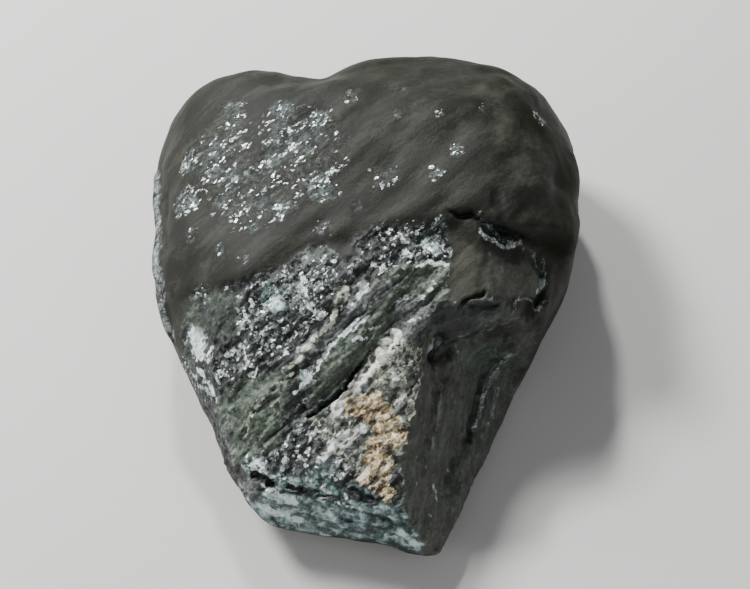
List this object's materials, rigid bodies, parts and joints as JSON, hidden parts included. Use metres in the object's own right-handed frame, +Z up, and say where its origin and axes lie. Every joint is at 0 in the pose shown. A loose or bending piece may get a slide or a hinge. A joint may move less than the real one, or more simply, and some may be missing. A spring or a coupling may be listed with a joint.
{
  "type": "obsidian chunk",
  "caption": "Heart-shaped hand-sized chunk of dark stone, worn round at the broad end and split to granular faces at the narrow end, lying on its flat underside.",
  "frame": {"origin": "middle of the stone's length and width, on the surface that it rests on", "axes": "+Z up, +Y from the narrow broken front to the broad worn end, +X to the right as seen from the front"},
  "size_m": [0.0513, 0.0598, 0.0255],
  "materials": {
    "stone": "waxy dark skin with granular grey-green breaks"
  },
  "bodies": {
    "root": {"obsidian_chunk": "stone"}
  },
  "joints": []
}
